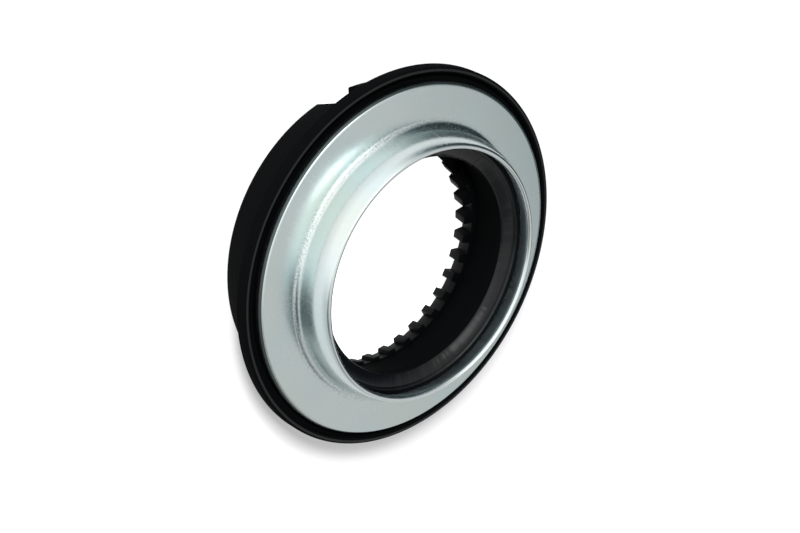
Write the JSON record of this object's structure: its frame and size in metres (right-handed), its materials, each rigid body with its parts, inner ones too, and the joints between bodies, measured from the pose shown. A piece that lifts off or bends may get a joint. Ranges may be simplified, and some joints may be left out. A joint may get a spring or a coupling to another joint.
{
  "type": "strut mount",
  "caption": "Strut mount: a thrust bearing with a zinc-plated spring seat, for the top of a front suspension strut",
  "frame": {"origin": "Centre of the lowest face, on the axis of turning.", "axes": "+Z runs along the axis from the car body towards the spring; +X points towards the side where the teeth in the bore are shortest."},
  "size_m": [0.1248, 0.1248, 0.0375],
  "materials": {
    "black_nylon": "moulded glass-filled nylon, satin",
    "zinc_steel": "zinc plated, clear blue passivated",
    "race_steel": "hardened bearing steel, ground",
    "cage_nylon": "natural nylon",
    "seal_rubber": "plain"
  },
  "bodies": {
    "body_side": {"upper_cap": "black_nylon", "upper_race": "race_steel"},
    "spring_side": {"lower_cap": "black_nylon", "lower_race": "race_steel", "inner_seal": "seal_rubber", "outer_seal": "seal_rubber", "spring_seat": "zinc_steel"},
    "cage": {"ball_cage": "cage_nylon", "ball_01": "race_steel", "ball_02": "race_steel", "ball_03": "race_steel", "ball_04": "race_steel", "ball_05": "race_steel", "ball_06": "race_steel", "ball_07": "race_steel", "ball_08": "race_steel", "ball_09": "race_steel", "ball_10": "race_steel", "ball_11": "race_steel", "ball_12": "race_steel", "ball_13": "race_steel", "ball_14": "race_steel", "ball_15": "race_steel", "ball_16": "race_steel", "ball_17": "race_steel", "ball_18": "race_steel", "ball_19": "race_steel", "ball_20": "race_steel", "ball_21": "race_steel", "ball_22": "race_steel", "ball_23": "race_steel", "ball_24": "race_steel", "ball_25": "race_steel", "ball_26": "race_steel", "ball_27": "race_steel", "ball_28": "race_steel", "ball_29": "race_steel", "ball_30": "race_steel"}
  },
  "joints": [
    {"name": "steer_turn", "type": "hinge", "parent": "body_side", "child": "spring_side", "pos_m": [0, 0, 0.016], "axis": [0, 0, 1], "continuous": true},
    {"name": "cage_turn", "type": "hinge", "parent": "body_side", "child": "cage", "pos_m": [0, 0, 0.016], "axis": [0, 0, 1], "continuous": true}
  ],
  "couplings": [
    {"joint": "cage_turn", "follows": "steer_turn", "ratio": 0.5}
  ]
}
